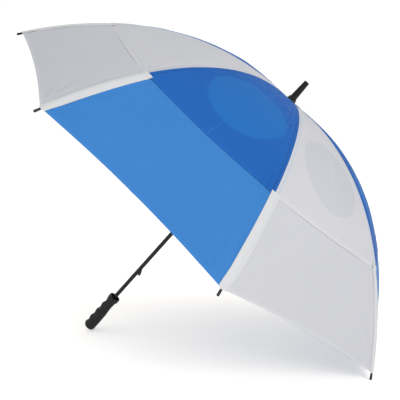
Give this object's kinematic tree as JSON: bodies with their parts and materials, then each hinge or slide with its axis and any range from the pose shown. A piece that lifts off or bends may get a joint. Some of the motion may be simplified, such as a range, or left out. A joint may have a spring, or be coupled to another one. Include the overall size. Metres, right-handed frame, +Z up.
{
  "type": "golf umbrella",
  "caption": "Manual golf umbrella with a vented double canopy of blue and white panels, open, resting on its handle end and two rib tips.",
  "frame": {"origin": "centre of the bounding box, on the floor that the open umbrella stands on", "axes": "+X from the handle towards the ferrule along the floor, +Y across between the two rib tips on the floor, +Z up"},
  "size_m": [0.9252, 1.2434, 0.8766],
  "materials": {
    "blue_fabric": "tight plain-weave nylon, slight sheen",
    "white_fabric": "tight plain-weave nylon, slight sheen",
    "black_plastic": "satin moulded",
    "shaft_finish": "semi-gloss black coating",
    "fibreglass": "pultruded black fibreglass",
    "grip_rubber": "matt soft grip",
    "washer_rubber": "matt",
    "steel": "drawn wire",
    "black_steel": "blackened spring steel"
  },
  "bodies": {
    "root": {"shaft": "shaft_finish", "crown": "black_plastic", "crown_wire": "steel", "crown_pad": "washer_rubber", "ferrule": "black_plastic", "ferrule_washer": "washer_rubber", "lower_canopy": "white_fabric", "upper_canopy": "blue_fabric", "handle_grip": "grip_rubber", "handle_cup": "black_plastic", "handle_core": "black_plastic", "handle_end_cap": "grip_rubber"},
    "runner": {"runner": "black_plastic", "runner_wire": "steel"},
    "rib_inner_0": {"rib_inner_0": "fibreglass", "rib_clip_0": "black_plastic"},
    "rib_outer_0": {"rib_outer_0": "fibreglass", "rib_tip_0": "black_plastic"},
    "strut_0": {"strut_0": "fibreglass"},
    "rib_inner_1": {"rib_inner_1": "fibreglass", "rib_clip_1": "black_plastic"},
    "rib_outer_1": {"rib_outer_1": "fibreglass", "rib_tip_1": "black_plastic"},
    "strut_1": {"strut_1": "fibreglass"},
    "rib_inner_2": {"rib_inner_2": "fibreglass", "rib_clip_2": "black_plastic"},
    "rib_outer_2": {"rib_outer_2": "fibreglass", "rib_tip_2": "black_plastic", "tie_strap": "blue_fabric"},
    "strut_2": {"strut_2": "fibreglass"},
    "rib_inner_3": {"rib_inner_3": "fibreglass", "rib_clip_3": "black_plastic"},
    "rib_outer_3": {"rib_outer_3": "fibreglass", "rib_tip_3": "black_plastic"},
    "strut_3": {"strut_3": "fibreglass"},
    "rib_inner_4": {"rib_inner_4": "fibreglass", "rib_clip_4": "black_plastic"},
    "rib_outer_4": {"rib_outer_4": "fibreglass", "rib_tip_4": "black_plastic"},
    "strut_4": {"strut_4": "fibreglass"},
    "rib_inner_5": {"rib_inner_5": "fibreglass", "rib_clip_5": "black_plastic"},
    "rib_outer_5": {"rib_outer_5": "fibreglass", "rib_tip_5": "black_plastic"},
    "strut_5": {"strut_5": "fibreglass"},
    "rib_inner_6": {"rib_inner_6": "fibreglass", "rib_clip_6": "black_plastic"},
    "rib_outer_6": {"rib_outer_6": "fibreglass", "rib_tip_6": "black_plastic"},
    "strut_6": {"strut_6": "fibreglass"},
    "rib_inner_7": {"rib_inner_7": "fibreglass", "rib_clip_7": "black_plastic"},
    "rib_outer_7": {"rib_outer_7": "fibreglass", "rib_tip_7": "black_plastic"},
    "strut_7": {"strut_7": "fibreglass"},
    "top_spring": {"top_spring": "steel"},
    "bottom_spring": {"bottom_spring": "black_steel"}
  },
  "joints": [
    {"name": "runner_slide", "type": "slide", "parent": "root", "child": "runner", "axis": [-0.6796, 0, -0.7336], "range_m": [0, 0.38377], "deforming": ["lower_canopy", "upper_canopy"]},
    {"name": "rib_hinge_0", "type": "hinge", "parent": "root", "child": "rib_inner_0", "pos_m": [0.22809, 0.00459, 0.65967], "axis": [-0.2807, 0.9239, 0.2601], "range_deg": [0, 80.87]},
    {"name": "rib_flex_0", "type": "hinge", "parent": "rib_inner_0", "child": "rib_outer_0", "pos_m": [0.39546, 0.11336, 0.45395], "axis": [-0.2807, 0.9239, 0.2601], "range_deg": [-28.09, 0]},
    {"name": "strut_hinge_0", "type": "hinge", "parent": "rib_inner_0", "child": "strut_0", "pos_m": [0.38933, 0.11241, 0.45071], "axis": [-0.2807, 0.9239, 0.2601], "range_deg": [-135.05, 0]},
    {"name": "rib_hinge_1", "type": "hinge", "parent": "root", "child": "rib_inner_1", "pos_m": [0.22333, 0.01109, 0.66408], "axis": [-0.6777, 0.3827, 0.6279], "range_deg": [0, 80.87]},
    {"name": "rib_flex_1", "type": "hinge", "parent": "rib_inner_1", "child": "rib_outer_1", "pos_m": [0.27786, 0.27367, 0.5629], "axis": [-0.6777, 0.3827, 0.6279], "range_deg": [-28.09, 0]},
    {"name": "strut_hinge_1", "type": "hinge", "parent": "rib_inner_1", "child": "strut_1", "pos_m": [0.27271, 0.27137, 0.55875], "axis": [-0.6777, 0.3827, 0.6279], "range_deg": [-135.05, 0]},
    {"name": "rib_hinge_2", "type": "hinge", "parent": "root", "child": "rib_inner_2", "pos_m": [0.21659, 0.01109, 0.67032], "axis": [-0.6777, -0.3827, 0.6279], "range_deg": [0, 80.87]},
    {"name": "rib_flex_2", "type": "hinge", "parent": "rib_inner_2", "child": "rib_outer_2", "pos_m": [0.11155, 0.27367, 0.71698], "axis": [-0.6777, -0.3827, 0.6279], "range_deg": [-28.09, 0]},
    {"name": "strut_hinge_2", "type": "hinge", "parent": "rib_inner_2", "child": "strut_2", "pos_m": [0.1078, 0.27137, 0.71153], "axis": [-0.6777, -0.3827, 0.6279], "range_deg": [-135.05, 0]},
    {"name": "rib_hinge_3", "type": "hinge", "parent": "root", "child": "rib_inner_3", "pos_m": [0.21183, 0.00459, 0.67474], "axis": [-0.2807, -0.9239, 0.2601], "range_deg": [0, 80.87]},
    {"name": "rib_flex_3", "type": "hinge", "parent": "rib_inner_3", "child": "rib_outer_3", "pos_m": [-0.00606, 0.11336, 0.82593], "axis": [-0.2807, -0.9239, 0.2601], "range_deg": [-28.09, 0]},
    {"name": "strut_hinge_3", "type": "hinge", "parent": "rib_inner_3", "child": "strut_3", "pos_m": [-0.00882, 0.11241, 0.81956], "axis": [-0.2807, -0.9239, 0.2601], "range_deg": [-135.05, 0]},
    {"name": "rib_hinge_4", "type": "hinge", "parent": "root", "child": "rib_inner_4", "pos_m": [0.21183, -0.00459, 0.67474], "axis": [0.2807, -0.9239, -0.2601], "range_deg": [0, 80.87]},
    {"name": "rib_flex_4", "type": "hinge", "parent": "rib_inner_4", "child": "rib_outer_4", "pos_m": [-0.00606, -0.11336, 0.82593], "axis": [0.2807, -0.9239, -0.2601], "range_deg": [-28.09, 0]},
    {"name": "strut_hinge_4", "type": "hinge", "parent": "rib_inner_4", "child": "strut_4", "pos_m": [-0.00882, -0.11241, 0.81956], "axis": [0.2807, -0.9239, -0.2601], "range_deg": [-135.05, 0]},
    {"name": "rib_hinge_5", "type": "hinge", "parent": "root", "child": "rib_inner_5", "pos_m": [0.21659, -0.01109, 0.67032], "axis": [0.6777, -0.3827, -0.6279], "range_deg": [0, 80.87]},
    {"name": "rib_flex_5", "type": "hinge", "parent": "rib_inner_5", "child": "rib_outer_5", "pos_m": [0.11155, -0.27367, 0.71698], "axis": [0.6777, -0.3827, -0.6279], "range_deg": [-28.09, 0]},
    {"name": "strut_hinge_5", "type": "hinge", "parent": "rib_inner_5", "child": "strut_5", "pos_m": [0.1078, -0.27137, 0.71153], "axis": [0.6777, -0.3827, -0.6279], "range_deg": [-135.05, 0]},
    {"name": "rib_hinge_6", "type": "hinge", "parent": "root", "child": "rib_inner_6", "pos_m": [0.22333, -0.01109, 0.66408], "axis": [0.6777, 0.3827, -0.6279], "range_deg": [0, 80.87]},
    {"name": "rib_flex_6", "type": "hinge", "parent": "rib_inner_6", "child": "rib_outer_6", "pos_m": [0.27786, -0.27367, 0.5629], "axis": [0.6777, 0.3827, -0.6279], "range_deg": [-28.09, 0]},
    {"name": "strut_hinge_6", "type": "hinge", "parent": "rib_inner_6", "child": "strut_6", "pos_m": [0.27271, -0.27137, 0.55875], "axis": [0.6777, 0.3827, -0.6279], "range_deg": [-135.05, 0]},
    {"name": "rib_hinge_7", "type": "hinge", "parent": "root", "child": "rib_inner_7", "pos_m": [0.22809, -0.00459, 0.65967], "axis": [0.2807, 0.9239, -0.2601], "range_deg": [0, 80.87]},
    {"name": "rib_flex_7", "type": "hinge", "parent": "rib_inner_7", "child": "rib_outer_7", "pos_m": [0.39546, -0.11336, 0.45395], "axis": [0.2807, 0.9239, -0.2601], "range_deg": [-28.09, 0]},
    {"name": "strut_hinge_7", "type": "hinge", "parent": "rib_inner_7", "child": "strut_7", "pos_m": [0.38933, -0.11241, 0.45071], "axis": [0.2807, 0.9239, -0.2601], "range_deg": [-135.05, 0]},
    {"name": "top_spring_press", "type": "slide", "parent": "root", "child": "top_spring", "axis": [-0.7336, 0, 0.6796], "range_m": [0, 0.0041], "stiffness_N_per_m": 400, "springref_m": -0.0005},
    {"name": "bottom_spring_press", "type": "slide", "parent": "root", "child": "bottom_spring", "axis": [-0.7336, 0, 0.6796], "range_m": [0, 0.0076], "stiffness_N_per_m": 400, "springref_m": -0.0005}
  ],
  "couplings": [
    {"joint": "rib_hinge_0", "follows": "runner_slide", "rad_per_m": 3.677},
    {"joint": "rib_flex_0", "follows": "runner_slide", "rad_per_m": -1.2766},
    {"joint": "strut_hinge_0", "follows": "runner_slide", "rad_per_m": -6.1409},
    {"joint": "rib_hinge_1", "follows": "runner_slide", "rad_per_m": 3.677},
    {"joint": "rib_flex_1", "follows": "runner_slide", "rad_per_m": -1.2766},
    {"joint": "strut_hinge_1", "follows": "runner_slide", "rad_per_m": -6.1409},
    {"joint": "rib_hinge_2", "follows": "runner_slide", "rad_per_m": 3.677},
    {"joint": "rib_flex_2", "follows": "runner_slide", "rad_per_m": -1.2766},
    {"joint": "strut_hinge_2", "follows": "runner_slide", "rad_per_m": -6.1409},
    {"joint": "rib_hinge_3", "follows": "runner_slide", "rad_per_m": 3.677},
    {"joint": "rib_flex_3", "follows": "runner_slide", "rad_per_m": -1.2766},
    {"joint": "strut_hinge_3", "follows": "runner_slide", "rad_per_m": -6.1409},
    {"joint": "rib_hinge_4", "follows": "runner_slide", "rad_per_m": 3.677},
    {"joint": "rib_flex_4", "follows": "runner_slide", "rad_per_m": -1.2766},
    {"joint": "strut_hinge_4", "follows": "runner_slide", "rad_per_m": -6.1409},
    {"joint": "rib_hinge_5", "follows": "runner_slide", "rad_per_m": 3.677},
    {"joint": "rib_flex_5", "follows": "runner_slide", "rad_per_m": -1.2766},
    {"joint": "strut_hinge_5", "follows": "runner_slide", "rad_per_m": -6.1409},
    {"joint": "rib_hinge_6", "follows": "runner_slide", "rad_per_m": 3.677},
    {"joint": "rib_flex_6", "follows": "runner_slide", "rad_per_m": -1.2766},
    {"joint": "strut_hinge_6", "follows": "runner_slide", "rad_per_m": -6.1409},
    {"joint": "rib_hinge_7", "follows": "runner_slide", "rad_per_m": 3.677},
    {"joint": "rib_flex_7", "follows": "runner_slide", "rad_per_m": -1.2766},
    {"joint": "strut_hinge_7", "follows": "runner_slide", "rad_per_m": -6.1409}
  ]
}
